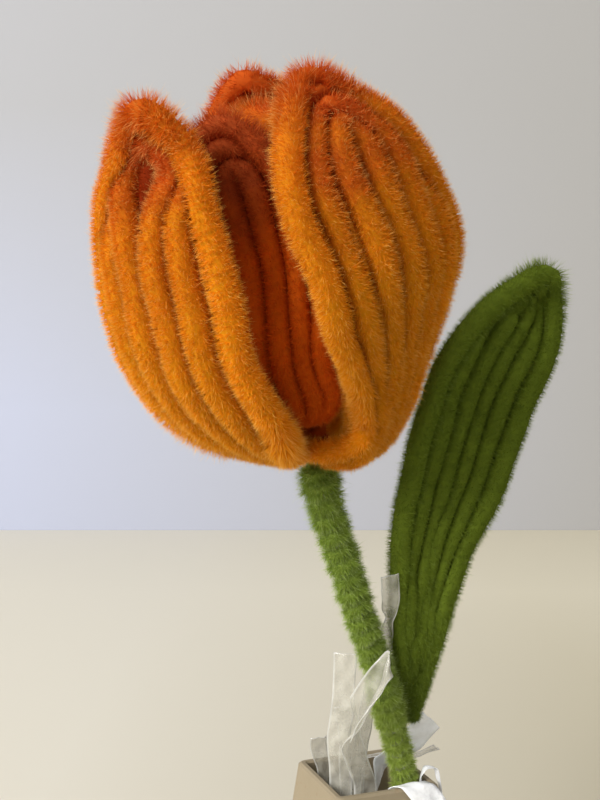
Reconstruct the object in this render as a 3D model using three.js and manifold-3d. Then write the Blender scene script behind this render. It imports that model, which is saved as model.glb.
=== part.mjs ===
// A tulip made of chenille stems, standing in a small square vase with clear film shred.
// Millimetres, +Z up, origin at the centre of the vase's underside.
// The flower leans to the left (-X) and towards the front (-Y).
import * as THREE from "three";
import * as BufferGeometryUtils from "three/addons/utils/BufferGeometryUtils.js";
import Module from "manifold-3d";

// Driving dimensions
const GAP = 0.3;
const VASE_HEIGHT = 62;
const VASE_MOUTH = 22;
const VASE_LEAN = 7;
const VASE_YAW = 20.7;
const VASE_WALL = 1.5;
const VASE_FLOOR = 3;
const VASE_EDGE_RADIUS = 1.2;
const FOAM_TOP = 50;
const CORE_RADIUS = 1.6;
const WRAP_PITCH = 3.1;
const WRAP_RIDGE = 0.38;
const WRAP_RADIUS = { low: 2.75, high: 3.6 };
const STRAND_RADIUS = 2.4;
const LEAF_STRAND_RADIUS = 2.3;
const FOOT_RADIUS = 1.25;
const FOOT_LENGTH = 9;
const SLIT = { straight: 0.3, tip: 0.9 };
const BLOOM_BASE = [-9.7, -25, 127.6];
const BLOOM_LEAN = { left: 13.5, forward: 16 };
const BLOOM_INSIDE = 9;
const FILM_THICKNESS = 0.6;

// The stem's middle line, from the foam up to the bloom
const STEM_IN_FOAM = [[6.2, 0.4, 15], [6.8, 0.2, 26], [7.6, -0.5, 38], [8, -1.4, 48]];
const STEM_ABOVE = [[7.5, -2.6, 61], [4.1, -8.2, 76.5], [0.2, -14.2, 91], [-3.8, -18.6, 103.4]];
const STEM_NECK = [-8.2, -22.8, 118.5];
const WRAP_BOTTOM = 56;

// The leaf's middle line from its foot, and how it is turned about that line
const LEAF_LINE = [
  [8.2, -2.2, 73.5], [8.3, -4, 78.5], [8.7, -6.7, 84.5], [9.1, -9.6, 90], [9.8, -13, 101],
  [11.2, -14.6, 111.5], [14.8, -15.4, 123.8], [20.5, -16.4, 142.8], [28.7, -17.6, 157.4],
  [32.2, -18.1, 162.1],
];
const LEAF_TURN = { foot: 0, tip: 20 };
const LEAF_HOLLOW = 26;

const wasm = await Module();
wasm.setup();

const rad = THREE.MathUtils.degToRad;
const vec = (p) => new THREE.Vector3(p[0], p[1], p[2]);

const matte = (color, roughness) => new THREE.MeshStandardMaterial({ color, roughness, metalness: 0 });
const materials = {
  vase: matte(0xd9cdb4, 0.85),
  foam: matte(0xe6e2d4, 0.95),
  wire: new THREE.MeshStandardMaterial({ color: 0xb9bcc0, roughness: 0.4, metalness: 1 }),
  stem: matte(0x5c6a2b, 0.95),
  leaf: matte(0x41500f, 0.95),
  outerPetal: matte(0xe0861c, 0.95),
  innerPetal: matte(0xc24f14, 0.95),
  film: new THREE.MeshStandardMaterial({
    color: 0xe8ecef, roughness: 0.12, transparent: true, opacity: 0.3,
  }),
};

const tulip = new THREE.Group();

function addPart(name, geometry, material) {
  const mesh = new THREE.Mesh(geometry, material.clone());
  mesh.name = name;
  tulip.add(mesh);
  return mesh;
}

// A smooth line through points, which gives a place for a distance along it
function smoothLine(points) {
  const curve = new THREE.CatmullRomCurve3(points.map(vec), false, "centripetal");
  curve.arcLengthDivisions = 400;
  const length = curve.getLength();
  const share = (s) => THREE.MathUtils.clamp(s / length, 0, 1);
  return {
    length,
    at: (s) => curve.getPointAt(share(s)),
    along: (s) => curve.getTangentAt(share(s)),
  };
}

// A closed skin over rings of points that have equal counts. A loop of rings needs no ends.
// Each end is filled by a ladder across the ring, which suits long thin sections.
function skin(rings, looped = false) {
  const count = rings[0].length;
  const positions = rings.flat().flatMap((p) => [p.x, p.y, p.z]);
  const faces = [];
  const steps = looped ? rings.length : rings.length - 1;
  for (let i = 0; i < steps; i += 1) {
    const low = i * count;
    const high = ((i + 1) % rings.length) * count;
    for (let j = 0; j < count; j += 1) {
      const next = (j + 1) % count;
      faces.push([low + j, low + next, high + next], [low + j, high + next, high + j]);
    }
  }
  if (!looped) {
    const last = (rings.length - 1) * count;
    for (let a = 0, b = count - 1; a + 1 < b; ) {
      faces.push([a, b, a + 1], [last + a, last + a + 1, last + b]);
      a += 1;
      if (a + 1 < b) {
        faces.push([a, b, b - 1], [last + a, last + b - 1, last + b]);
        b -= 1;
      }
    }
  }
  return outward(positions, faces);
}

// The geometry of some triangles, turned over if their faces point in
function outward(positions, faces) {
  const corner = (k) => new THREE.Vector3().fromArray(positions, 3 * k);
  let volume = 0;
  for (const [a, b, c] of faces) {
    volume += corner(a).dot(corner(b).cross(corner(c)));
  }
  const turned = volume < 0 ? faces.map(([a, b, c]) => [a, c, b]) : faces;
  const geometry = new THREE.BufferGeometry();
  geometry.setAttribute("position", new THREE.Float32BufferAttribute(positions, 3));
  geometry.setIndex(turned.flat());
  return geometry;
}

function toManifold(geometry) {
  const plain = geometry.clone();
  plain.deleteAttribute("normal");
  plain.deleteAttribute("uv");
  const merged = BufferGeometryUtils.mergeVertices(plain, 1e-5);
  return new wasm.Manifold(new wasm.Mesh({
    numProp: 3,
    vertProperties: new Float32Array(merged.attributes.position.array),
    triVerts: new Uint32Array(merged.index.array),
  }));
}

function fromManifold(solid) {
  const mesh = solid.getMesh();
  const geometry = new THREE.BufferGeometry();
  geometry.setAttribute("position", new THREE.BufferAttribute(mesh.vertProperties, 3));
  geometry.setIndex(new THREE.BufferAttribute(mesh.triVerts, 1));
  return geometry;
}

// A level square with rounded corners, turned by the vase's yaw
function squareRing(half, z, radius) {
  const corners = [[1, 1, 0], [-1, 1, 90], [-1, -1, 180], [1, -1, 270]];
  const ring = [];
  for (const [sx, sy, start] of corners) {
    for (let k = 0; k <= 3; k += 1) {
      const angle = rad(start + 30 * k);
      const x = sx * (half - radius) + radius * Math.cos(angle);
      const y = sy * (half - radius) + radius * Math.sin(angle);
      ring.push(new THREE.Vector3(x, y, z).applyAxisAngle(new THREE.Vector3(0, 0, 1), rad(VASE_YAW)));
    }
  }
  return ring;
}

// The vase's outer half width at a height: it is widest at its foot
const vaseHalf = (z) => VASE_MOUTH / 2 + (VASE_HEIGHT - z) * Math.tan(rad(VASE_LEAN));

function makeVase() {
  const outer = (z, inset = 0) => squareRing(vaseHalf(z) - inset, z, VASE_EDGE_RADIUS);
  const inner = (z, inset = 0) => squareRing(vaseHalf(z) - VASE_WALL + inset, z, VASE_EDGE_RADIUS / 2);
  const lip = 0.4;
  return skin([
    outer(0, 0.6), outer(0.6), outer(VASE_HEIGHT / 2), outer(VASE_HEIGHT - lip),
    outer(VASE_HEIGHT, lip), inner(VASE_HEIGHT, lip - 0.1), inner(VASE_HEIGHT - lip),
    inner(VASE_HEIGHT / 2), inner(VASE_FLOOR),
  ]);
}

// A round bar along a line between two distances
function bar(line, from, to, radius, sides, step) {
  const rings = [];
  const steps = Math.ceil((to - from) / step);
  for (let i = 0; i <= steps; i += 1) {
    const s = from + ((to - from) * i) / steps;
    rings.push(roundRing(line, s, sides, () => radius));
  }
  return skin(rings);
}

// A ring about a line, with a radius for each angle round it
function roundRing(line, s, sides, radiusAt) {
  const along = line.along(s);
  const right = new THREE.Vector3(1, 0, 0).addScaledVector(along, -along.x).normalize();
  const back = along.clone().cross(right);
  const ring = [];
  for (let j = 0; j < sides; j += 1) {
    const angle = (2 * Math.PI * j) / sides;
    const radius = radiusAt(angle);
    ring.push(line.at(s)
      .addScaledVector(right, radius * Math.cos(angle))
      .addScaledVector(back, radius * Math.sin(angle)));
  }
  return ring;
}

// The bloom's own frame: up its axis, to the right, and away from the front
const lean = BLOOM_LEAN;
const bloomUp = new THREE.Vector3(-Math.tan(rad(lean.left)), -Math.tan(rad(lean.forward)), 1).normalize();
const bloomRight = new THREE.Vector3(1, 0, 0).addScaledVector(bloomUp, -bloomUp.x).normalize();
const bloomBack = bloomUp.clone().cross(bloomRight);

const coreTop = vec(BLOOM_BASE).addScaledVector(bloomUp, BLOOM_INSIDE + 1.5).toArray();
const stemLine = smoothLine([...STEM_IN_FOAM, ...STEM_ABOVE, STEM_NECK, BLOOM_BASE, coreTop]);

// The distance along the stem at which it passes a height
function stemAtHeight(z) {
  let low = 0;
  let high = stemLine.length;
  for (let i = 0; i < 40; i += 1) {
    const middle = (low + high) / 2;
    if (stemLine.at(middle).z < z) {
      low = middle;
    } else {
      high = middle;
    }
  }
  return low;
}

function makeCore() {
  return bar(stemLine, 0, stemLine.length, CORE_RADIUS, 10, 4);
}

function makeFoam() {
  const floor = VASE_FLOOR + GAP;
  const half = (z) => vaseHalf(z) - VASE_WALL - GAP;
  const block = skin([squareRing(half(floor), floor, 1), squareRing(half(FOAM_TOP), FOAM_TOP, 1)]);
  const entry = stemAtHeight(FOAM_TOP) + 3;
  const deep = smoothLine([[6.2, 0.4, 14], ...STEM_IN_FOAM, STEM_ABOVE[0]]);
  const hole = bar(deep, 0, entry + 1, CORE_RADIUS + GAP, 10, 4);
  return fromManifold(toManifold(block).subtract(toManifold(hole)));
}

// The chenille wound round the core: one raised ridge that climbs as a helix, round a plain bore
function makeWrap() {
  const from = stemAtHeight(WRAP_BOTTOM);
  const to = stemAtHeight(BLOOM_BASE[2]) - 1;
  const sides = 10;
  const step = WRAP_PITCH / 4;
  const mean = (s) => THREE.MathUtils.lerp(WRAP_RADIUS.low, WRAP_RADIUS.high, (s - from) / (to - from));
  const ridged = (s) => roundRing(stemLine, s, sides, (angle) => {
    const turn = (2 * Math.PI * (s - from)) / WRAP_PITCH;
    return mean(s) + WRAP_RIDGE * Math.cos(turn - angle);
  });
  const rings = [];
  for (let s = from; s < to; s += step) {
    rings.push(ridged(s));
  }
  rings.push(ridged(to));
  const bores = 20;
  for (let i = bores; i >= 0; i -= 1) {
    const s = from + ((to - from) * i) / bores;
    rings.push(roundRing(stemLine, s, sides, () => CORE_RADIUS + GAP));
  }
  return skin(rings, true);
}

const ease = (x) => THREE.MathUtils.smoothstep(x, 0, 1);

// A strand's ridge and the groove beside it, as shares of the strand's radius, and half the ridge's
// flat top as a share of the strands' spacing
const RIDGE = 0.96;
const GROOVE = 0.55;
const RIDGE_FLAT = 0.24;
const ARCH_STEPS = 5;

// Long loops of one strand, nested inside each other, as one solid with a ridge for each strand.
// form.place(u, v, w) is the point u across and v along from the foot, raised by w off the middle
// surface. The outermost loop ends at form.tip, and each one inside it a step of form.rise below.
// Each of form.reach and form.arch holds the left and the right side, one number for each loop:
// its distance from the middle, and the length over which it closes to a point.
function nestedLoops(form) {
  const { reach, arch, rise, tip, place } = form;
  const loops = reach[0].length;
  const [sharpness, fullness] = form.point;
  const widthAt = (v) => form.foot + (1 - form.foot) * ease(v / form.spread);
  const thickAt = (v) => THREE.MathUtils.lerp(FOOT_RADIUS, form.radius, ease(v / FOOT_LENGTH));

  // How far a side of loop k stands off to leave the open eye under the tips
  function eyeAt(v, k, side) {
    if (!form.eye) {
      return 0;
    }
    const [share, half, ...sizes] = form.eye;
    return sizes[side] * (1 - k / loops) * Math.exp(-(((v - share * tip) / half) ** 2));
  }

  // Where loop k runs at one station of a side: across, along, raised, and how far round the arch
  function station(k, side, i) {
    const bend = arch[side][k];
    const start = tip - rise * (loops - 1 - k) - bend;
    const round = Math.sin((Math.max(i - form.steps, 0) / ARCH_STEPS) * (Math.PI / 2));
    const v = i <= form.steps ? (start * i) / form.steps : start + bend * round;
    const narrow = (1 - round ** sharpness) ** fullness;
    const u = (reach[side][k] * widthAt(v) + eyeAt(v, k, side)) * narrow;
    const tucked = side === 0 && k === loops - 2;
    const w = tucked && form.tuck ? -form.tuck * ease(v / TUCK_START) * narrow : 0;
    return { u: side === 0 ? -u : u, v, w, round };
  }

  function faceNormal(u, v) {
    const d = 0.05;
    const across = place(u + d, v, 0).sub(place(u - d, v, 0));
    const along = place(u, v + d, 0).sub(place(u, v - d, 0));
    return across.cross(along).normalize();
  }

  function section(side, i) {
    const spots = Array.from({ length: loops }, (_, k) => station(k, side, i));
    const centres = spots.map((s) => place(s.u, s.v, s.w));
    const level = spots.map((s) => place(s.u, s.v, 0));
    const normals = spots.map((s) => faceNormal(s.u, s.v));
    const thick = spots.map((s) => thickAt(s.v));
    const outwards = level[loops - 1].clone().sub(level[loops - 2]);
    const spacing = outwards.length();
    outwards.normalize();
    const inwards = centres[1].clone().sub(centres[0]).normalize();
    const slit = THREE.MathUtils.lerp(SLIT.straight, SLIT.tip, spots[0].round);
    const beside = THREE.MathUtils.clamp(Math.abs(spots[0].u) - slit, 0.12, thick[0] * 0.95);
    const flank = THREE.MathUtils.lerp(beside, thick[0] * 0.8, spots[0].round);
    const top = [];
    const bottom = [];
    for (let k = 0; k < loops; k += 1) {
      const before = k === 0 ? inwards.clone().multiplyScalar(flank * 1.2)
        : centres[k].clone().sub(centres[k - 1]);
      const after = k === loops - 1 ? outwards.clone().multiplyScalar(spacing)
        : centres[k + 1].clone().sub(centres[k]);
      const lift = normals[k].clone().multiplyScalar(thick[k] * RIDGE);
      before.multiplyScalar(-RIDGE_FLAT);
      after.multiplyScalar(RIDGE_FLAT);
      for (const shift of [before, after]) {
        top.push(centres[k].clone().add(shift).add(lift));
        bottom.push(centres[k].clone().add(shift).sub(lift));
      }
      if (k < loops - 1) {
        const groove = centres[k].clone().add(centres[k + 1]).multiplyScalar(0.5);
        const depth = normals[k].clone().multiplyScalar(thick[k] * GROOVE);
        top.push(groove.clone().add(depth));
        bottom.push(groove.clone().sub(depth));
      }
    }
    const rim = Math.min(thick[loops - 1], spacing * 0.9);
    const first = centres[0].clone().addScaledVector(inwards, -flank);
    const last = centres[loops - 1].clone().addScaledVector(outwards, rim);
    return [first, ...top, last, ...bottom.reverse()];
  }

  const rings = [];
  const steps = form.steps + ARCH_STEPS;
  for (let i = 0; i < steps; i += 1) {
    rings.push(section(0, i));
  }
  for (let i = steps; i >= 0; i -= 1) {
    rings.push(section(1, i));
  }
  return skin(rings);
}

// Each petal: its direction round the bloom in degrees from the front, its loops' distances from
// its middle and closing lengths to the left and right, the step between loop tips, narrowing at
// the foot, shape of the points, sideways sway of its middle as share of the length and shift, and
// its middle line as distance from the bloom's axis and height. An eye has its place as a share of
// the length, half length and sizes to the left and right. A tuck is how far behind its neighbours
// one strand runs.
const OUTER_POINT = [1.75, 0.78];
const INNER_POINT = [1.9, 0.6];
const INNER_REACH = [2.1, 6.2, 10.3];
const INNER_ARCH = [4, 8, 14];
const PETALS = {
  petal_outer_left: {
    azimuth: -41, rise: 1.9, foot: 0.12, spread: 30, steps: 12, point: OUTER_POINT,
    reach: [[3.8, 8.9, 13.4], [1.9, 7, 12.6]], arch: [[7, 15, 26.5], [7, 15, 26.5]],
    eye: [0.875, 5, 1.8, 3],
    sway: [[0, 0], [0.2, 0.2], [0.4, 0.3], [0.6, 0.9], [0.8, 1.4], [0.9, 3.2], [1, 4.2]],
    line: [[2.3, 4.7], [8.9, 6.8], [14.5, 10.5], [20.5, 16], [25.4, 23.7], [27.5, 33], [27.2, 40.8],
      [26.1, 48.9], [24.2, 56.9], [22.9, 63.2], [23.2, 67.5]],
  },
  petal_outer_right: {
    azimuth: 42, rise: 2.7, foot: 0.13, spread: 50, steps: 12, point: OUTER_POINT, tuck: 2.6,
    reach: [[2.4, 7.1, 9.3, 11.5], [2.3, 6.7, 10.9, 14.4]],
    arch: [[8.4, 13, 15, 20], [4, 11, 14, 29]],
    sway: [[0, 0.1], [0.2, 2.8], [0.4, 1.5], [0.6, -2.6], [0.8, -4.6], [0.9, -4.3], [1, -3.7]],
    line: [[2.2, 1.7], [8.8, 3.3], [13.6, 7], [16.4, 11.1], [20.6, 18.8], [26.4, 27.9],
      [31.6, 37.8], [31.8, 47.4], [29.6, 56.7], [25.1, 63.2], [22.8, 66]],
  },
  petal_outer_back: {
    azimuth: 178.4, rise: 2.6, foot: 0.12, spread: 26, steps: 12, point: OUTER_POINT,
    reach: [[2.1, 6.2, 10.3, 14.2], [2.1, 6.2, 10.3, 14.2]],
    arch: [[4, 9, 15, 25.5], [4, 9, 15, 26]], sway: [[0, 0], [0.3, -0.3], [0.6, -1.1], [1, -0.7]],
    line: [[2, 3], [9, 2.6], [15, 5.3], [20.5, 10.5], [25, 18], [27.9, 27], [28.8, 36], [28.2, 46],
      [26.3, 55], [23.5, 62.2], [20.2, 67.1]],
  },
  petal_inner_front: {
    azimuth: -8.6, rise: 3.2, foot: 0.14, spread: 15, steps: 9, point: INNER_POINT,
    reach: [[1.5, 5.9, 10.3], [2.4, 5.8, 8.8]], arch: [[4, 8, 13], [3.3, 8, 19.5]],
    sway: [[0, 0.3], [0.3, -1.5], [0.6, 1.2], [1, -0.8]],
    line: [[2, 11], [7.1, 12.6], [10.7, 15.6], [14.6, 21.8], [17, 30.2], [16.3, 40.8],
      [13.6, 50.8], [11.9, 58], [10.8, 62]],
  },
  petal_inner_right: {
    azimuth: 128, rise: 3.2, foot: 0.14, spread: 16, steps: 9, point: INNER_POINT,
    reach: [INNER_REACH, INNER_REACH], arch: [INNER_ARCH, INNER_ARCH],
    sway: [[0, 0], [0.3, 0], [0.6, 0.3], [1, 1.8]],
    line: [[2, 9.6], [8, 9.8], [13, 12.9], [17.1, 19.9], [18.7, 30], [17, 41], [12.9, 51],
      [8.3, 57.9], [5, 61.3]],
  },
  petal_inner_left: {
    azimuth: -116, rise: 3.2, foot: 0.14, spread: 16, steps: 9, point: INNER_POINT,
    reach: [INNER_REACH, INNER_REACH], arch: [INNER_ARCH, INNER_ARCH], sway: [[0, 0], [1, 0]],
    line: [[2, 10.2], [8, 10.8], [12.7, 14.2], [16.6, 21.4], [18.4, 30.5], [16.6, 40], [13, 49], [9, 56]],
  },
};
const PETAL_CROSS_RADIUS = 30;
const TUCK_START = 14;

function makePetal(petal) {
  const line = smoothLine(petal.line.map(([r, z]) => [r, 0, z]));
  const sway = smoothLine(petal.sway.map(([share, shift]) => [share * line.length, shift, 0]));
  const outwards = bloomRight.clone().multiplyScalar(Math.sin(rad(petal.azimuth)))
    .addScaledVector(bloomBack, -Math.cos(rad(petal.azimuth)));
  const sideways = bloomRight.clone().multiplyScalar(Math.cos(rad(petal.azimuth)))
    .addScaledVector(bloomBack, Math.sin(rad(petal.azimuth)));
  const round = PETAL_CROSS_RADIUS;
  const place = (u, v, w) => {
    const spot = line.at(v);
    const angle = (u + sway.at(v).y) / round;
    return vec(BLOOM_BASE)
      .addScaledVector(outwards, spot.x - round + (round + w) * Math.cos(angle))
      .addScaledVector(sideways, (round + w) * Math.sin(angle))
      .addScaledVector(bloomUp, spot.z);
  };
  return nestedLoops({ ...petal, radius: STRAND_RADIUS, tip: line.length, place });
}

function makeLeaf() {
  const line = smoothLine(LEAF_LINE);
  const place = (u, v, w) => {
    const along = line.along(v);
    const turn = rad(THREE.MathUtils.lerp(LEAF_TURN.foot, LEAF_TURN.tip, v / line.length));
    const across = new THREE.Vector3(1, 0, 0).addScaledVector(along, -along.x).normalize()
      .applyAxisAngle(along, turn);
    const back = along.clone().cross(across);
    const angle = u / LEAF_HOLLOW;
    return line.at(v)
      .addScaledVector(across, (LEAF_HOLLOW - w) * Math.sin(angle))
      .addScaledVector(back, (LEAF_HOLLOW - w) * Math.cos(angle) - LEAF_HOLLOW);
  };
  return nestedLoops({
    rise: 2.6, foot: 0.14, spread: 70, radius: LEAF_STRAND_RADIUS, steps: 12, point: [1.75, 0.72],
    reach: [[1.3, 5.3, 9.1], [1.5, 5.2, 9.2]], arch: [[5, 14, 28], [5, 11, 18]],
    tip: line.length, place,
  });
}

// A flat strip of film along points. Its ends and its sides between them lie along the given ways,
// which are spread evenly over the points.
function makeStrip(points, width, ...ways) {
  const line = points.map(vec);
  const rings = line.map((point, i) => {
    const before = line[Math.max(i - 1, 0)];
    const after = line[Math.min(i + 1, line.length - 1)];
    const along = after.clone().sub(before).normalize();
    const turn = (i / (line.length - 1)) * (ways.length - 1);
    const way = Math.floor(turn);
    const wide = vec(ways[way]).lerp(vec(ways[Math.min(way + 1, ways.length - 1)]), turn - way);
    wide.normalize().multiplyScalar(width / 2);
    const thick = along.clone().cross(wide).normalize().multiplyScalar(FILM_THICKNESS / 2);
    return [[1, 1], [-1, 1], [-1, -1], [1, -1]].map(([a, b]) =>
      point.clone().addScaledVector(wide, a).addScaledVector(thick, b));
  });
  return skin(rings);
}

// A point given along the mouth's front edge, away from it, and up
function inMouth(x, y, z) {
  return new THREE.Vector3(x, y, z).applyAxisAngle(new THREE.Vector3(0, 0, 1), rad(VASE_YAW)).toArray();
}
const edgeWays = inMouth(1, 0, 0);
const inWays = inMouth(0, 1, 0);

const FILMS = {
  film_strip_folded: () => makeStrip([
    inMouth(-3, -6.6, FOAM_TOP + 1), inMouth(-3.2, -6.6, 62.5), [-3.9, -12.6, 72.9],
    [-2.6, -17, 81], [0.4, -19.6, 87], [3, -20.8, 90.6], [3.1, -22, 90.6], [1.2, -23.6, 87],
    [-1.6, -23.6, 82.2], [-4, -22, 77]], 4.8,
    edgeWays, edgeWays, [-0.6, 0, 0.7], [-0.3, 0, 0.9], [0, 0.3, 0.9], [0.3, 0.9, 0.1], [0.3, 0.9, 0.1]),
  film_strip_tall: () => makeStrip([
    inMouth(-1.4, 2.4, FOAM_TOP + 1), inMouth(-1.4, 1.6, 62), [-0.4, -3.2, 74], [0.9, -5.9, 83],
    [2.9, -9.9, 91], [3.4, -14, 97], [3.5, -17, 101.6], [3.2, -17.9, 106.4]], 3.4,
    edgeWays, edgeWays, edgeWays, edgeWays, [0.9, -0.5, 0], [0.4, -0.9, 0], [0.9, 0.1, 0.2],
    [0.9, 0.1, 0.2]),
  film_strip_broad: () => makeStrip([
    inMouth(-6.8, -2.6, FOAM_TOP + 1), inMouth(-7, -3.2, 62.5), [-6.2, -8.4, 71.5],
    [-5.2, -10.4, 79.1], [-4.8, -11.4, 90]], 4.6, [0.9, -0.3, 0]),
  film_strip_middle: () => makeStrip([
    inMouth(-3, 0.6, FOAM_TOP + 1), inMouth(-3.6, 0.2, 62), [-3.6, -3.8, 70], [-4.8, -6.4, 78]],
    4.4, [0.9, -0.2, 0.1]),
  film_strip_left: () => makeStrip([
    inMouth(-6.8, 5.4, FOAM_TOP + 1), inMouth(-7, 5.2, 62), [-9.8, 0.6, 66.5], [-9.8, -2.6, 70.2]],
    3.6, edgeWays),
  film_strip_right: () => makeStrip([
    inMouth(3.4, 3.4, FOAM_TOP + 1), inMouth(4.4, 3.2, 62), [9.4, 1.2, 68], [13.2, -1, 73.3]],
    4.2, inWays, [0.7, 0.2, -0.7], [0.7, 0.2, -0.7]),
  film_strip_low: () => makeStrip([
    inMouth(0.4, 7.2, FOAM_TOP + 1), inMouth(2.4, 7.2, 62.4), [10.8, 5, 63.8], [15.2, 4.4, 65.6]],
    2.4, inWays),
  film_fold_front: () => makeStrip([
    inMouth(3.9, -8.85, 56), inMouth(3.9, -8.85, 61.5), inMouth(4.6, -9.6, 62.6),
    inMouth(6, -11.4, 62.6), inMouth(7.8, -12.5, 60), inMouth(10.2, -13.4, 55)], 7, edgeWays),
  film_fold_right: () => makeStrip([
    inMouth(8.4, -7.9, 56), inMouth(8.4, -7.9, 63), inMouth(9.2, -8.2, 64.8), inMouth(11.4, -8.4, 64.4),
    inMouth(12.4, -8.4, 61), inMouth(12.9, -8.4, 57)], 1.8, inMouth(0.8, 0.6, 0), inWays, inWays),
};

addPart("vase", makeVase(), materials.vase);
addPart("foam_block", makeFoam(), materials.foam);
addPart("stem_core", makeCore(), materials.wire);
addPart("stem_wrap", makeWrap(), materials.stem);
addPart("leaf", makeLeaf(), materials.leaf);
for (const [name, petal] of Object.entries(PETALS)) {
  const material = name.includes("outer") ? materials.outerPetal : materials.innerPetal;
  addPart(name, makePetal(petal), material);
}
for (const [name, make] of Object.entries(FILMS)) {
  addPart(name, make(), materials.film);
}

export default tulip;
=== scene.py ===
# Looks of the chenille-stem tulip: pile on every strand, crinkled film, ceramic, foam and wire.
# Sizes are in millimetres in the part's own frame, and become metres when a mesh is made.
import math

import bpy
import numpy as np
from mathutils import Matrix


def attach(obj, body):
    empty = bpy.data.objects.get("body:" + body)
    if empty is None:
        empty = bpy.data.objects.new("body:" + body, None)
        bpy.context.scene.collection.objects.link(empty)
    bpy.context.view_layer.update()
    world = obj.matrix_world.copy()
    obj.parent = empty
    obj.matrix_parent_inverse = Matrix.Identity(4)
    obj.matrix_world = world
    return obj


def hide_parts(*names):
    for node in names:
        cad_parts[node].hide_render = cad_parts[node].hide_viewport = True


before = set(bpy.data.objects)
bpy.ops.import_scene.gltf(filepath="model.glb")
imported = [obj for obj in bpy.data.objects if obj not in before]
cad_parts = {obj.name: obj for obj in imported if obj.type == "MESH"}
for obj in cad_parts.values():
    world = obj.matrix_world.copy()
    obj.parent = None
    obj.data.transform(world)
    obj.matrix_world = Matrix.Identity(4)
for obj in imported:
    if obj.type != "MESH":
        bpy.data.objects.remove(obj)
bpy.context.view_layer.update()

MM = 0.001
X_AXIS = np.array([1.0, 0.0, 0.0])

# The bloom's place and lean, and the stem's middle line, as in the CAD model
BLOOM_BASE = np.array([-9.7, -25.0, 127.6])
BLOOM_LEAN_LEFT = math.radians(13.5)
BLOOM_LEAN_FORWARD = math.radians(16)
BLOOM_HEIGHT = 68.0
BLOOM_INSIDE = 9.0
PETAL_CROSS_RADIUS = 30.0
STEM_POINTS = [
    (6.2, 0.4, 15), (6.8, 0.2, 26), (7.6, -0.5, 38), (8, -1.4, 48), (7.5, -2.6, 61),
    (4.1, -8.2, 76.5), (0.2, -14.2, 91), (-3.8, -18.6, 103.4), (-8.2, -22.8, 118.5),
]
WRAP_BOTTOM = 56.0
WRAP_PITCH = 3.1
LEAF_LINE = [
    (8.2, -2.2, 73.5), (8.3, -4, 78.5), (8.7, -6.7, 84.5), (9.1, -9.6, 90), (9.8, -13, 101),
    (11.2, -14.6, 111.5), (14.8, -15.4, 123.8), (20.5, -16.4, 142.8), (28.7, -17.6, 157.4),
    (32.2, -18.1, 162.1),
]
LEAF_TIP_TURN = math.radians(20)
LEAF_HOLLOW = 26.0
VASE_YAW = math.radians(20.7)
FOAM_TOP = 50.0

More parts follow.
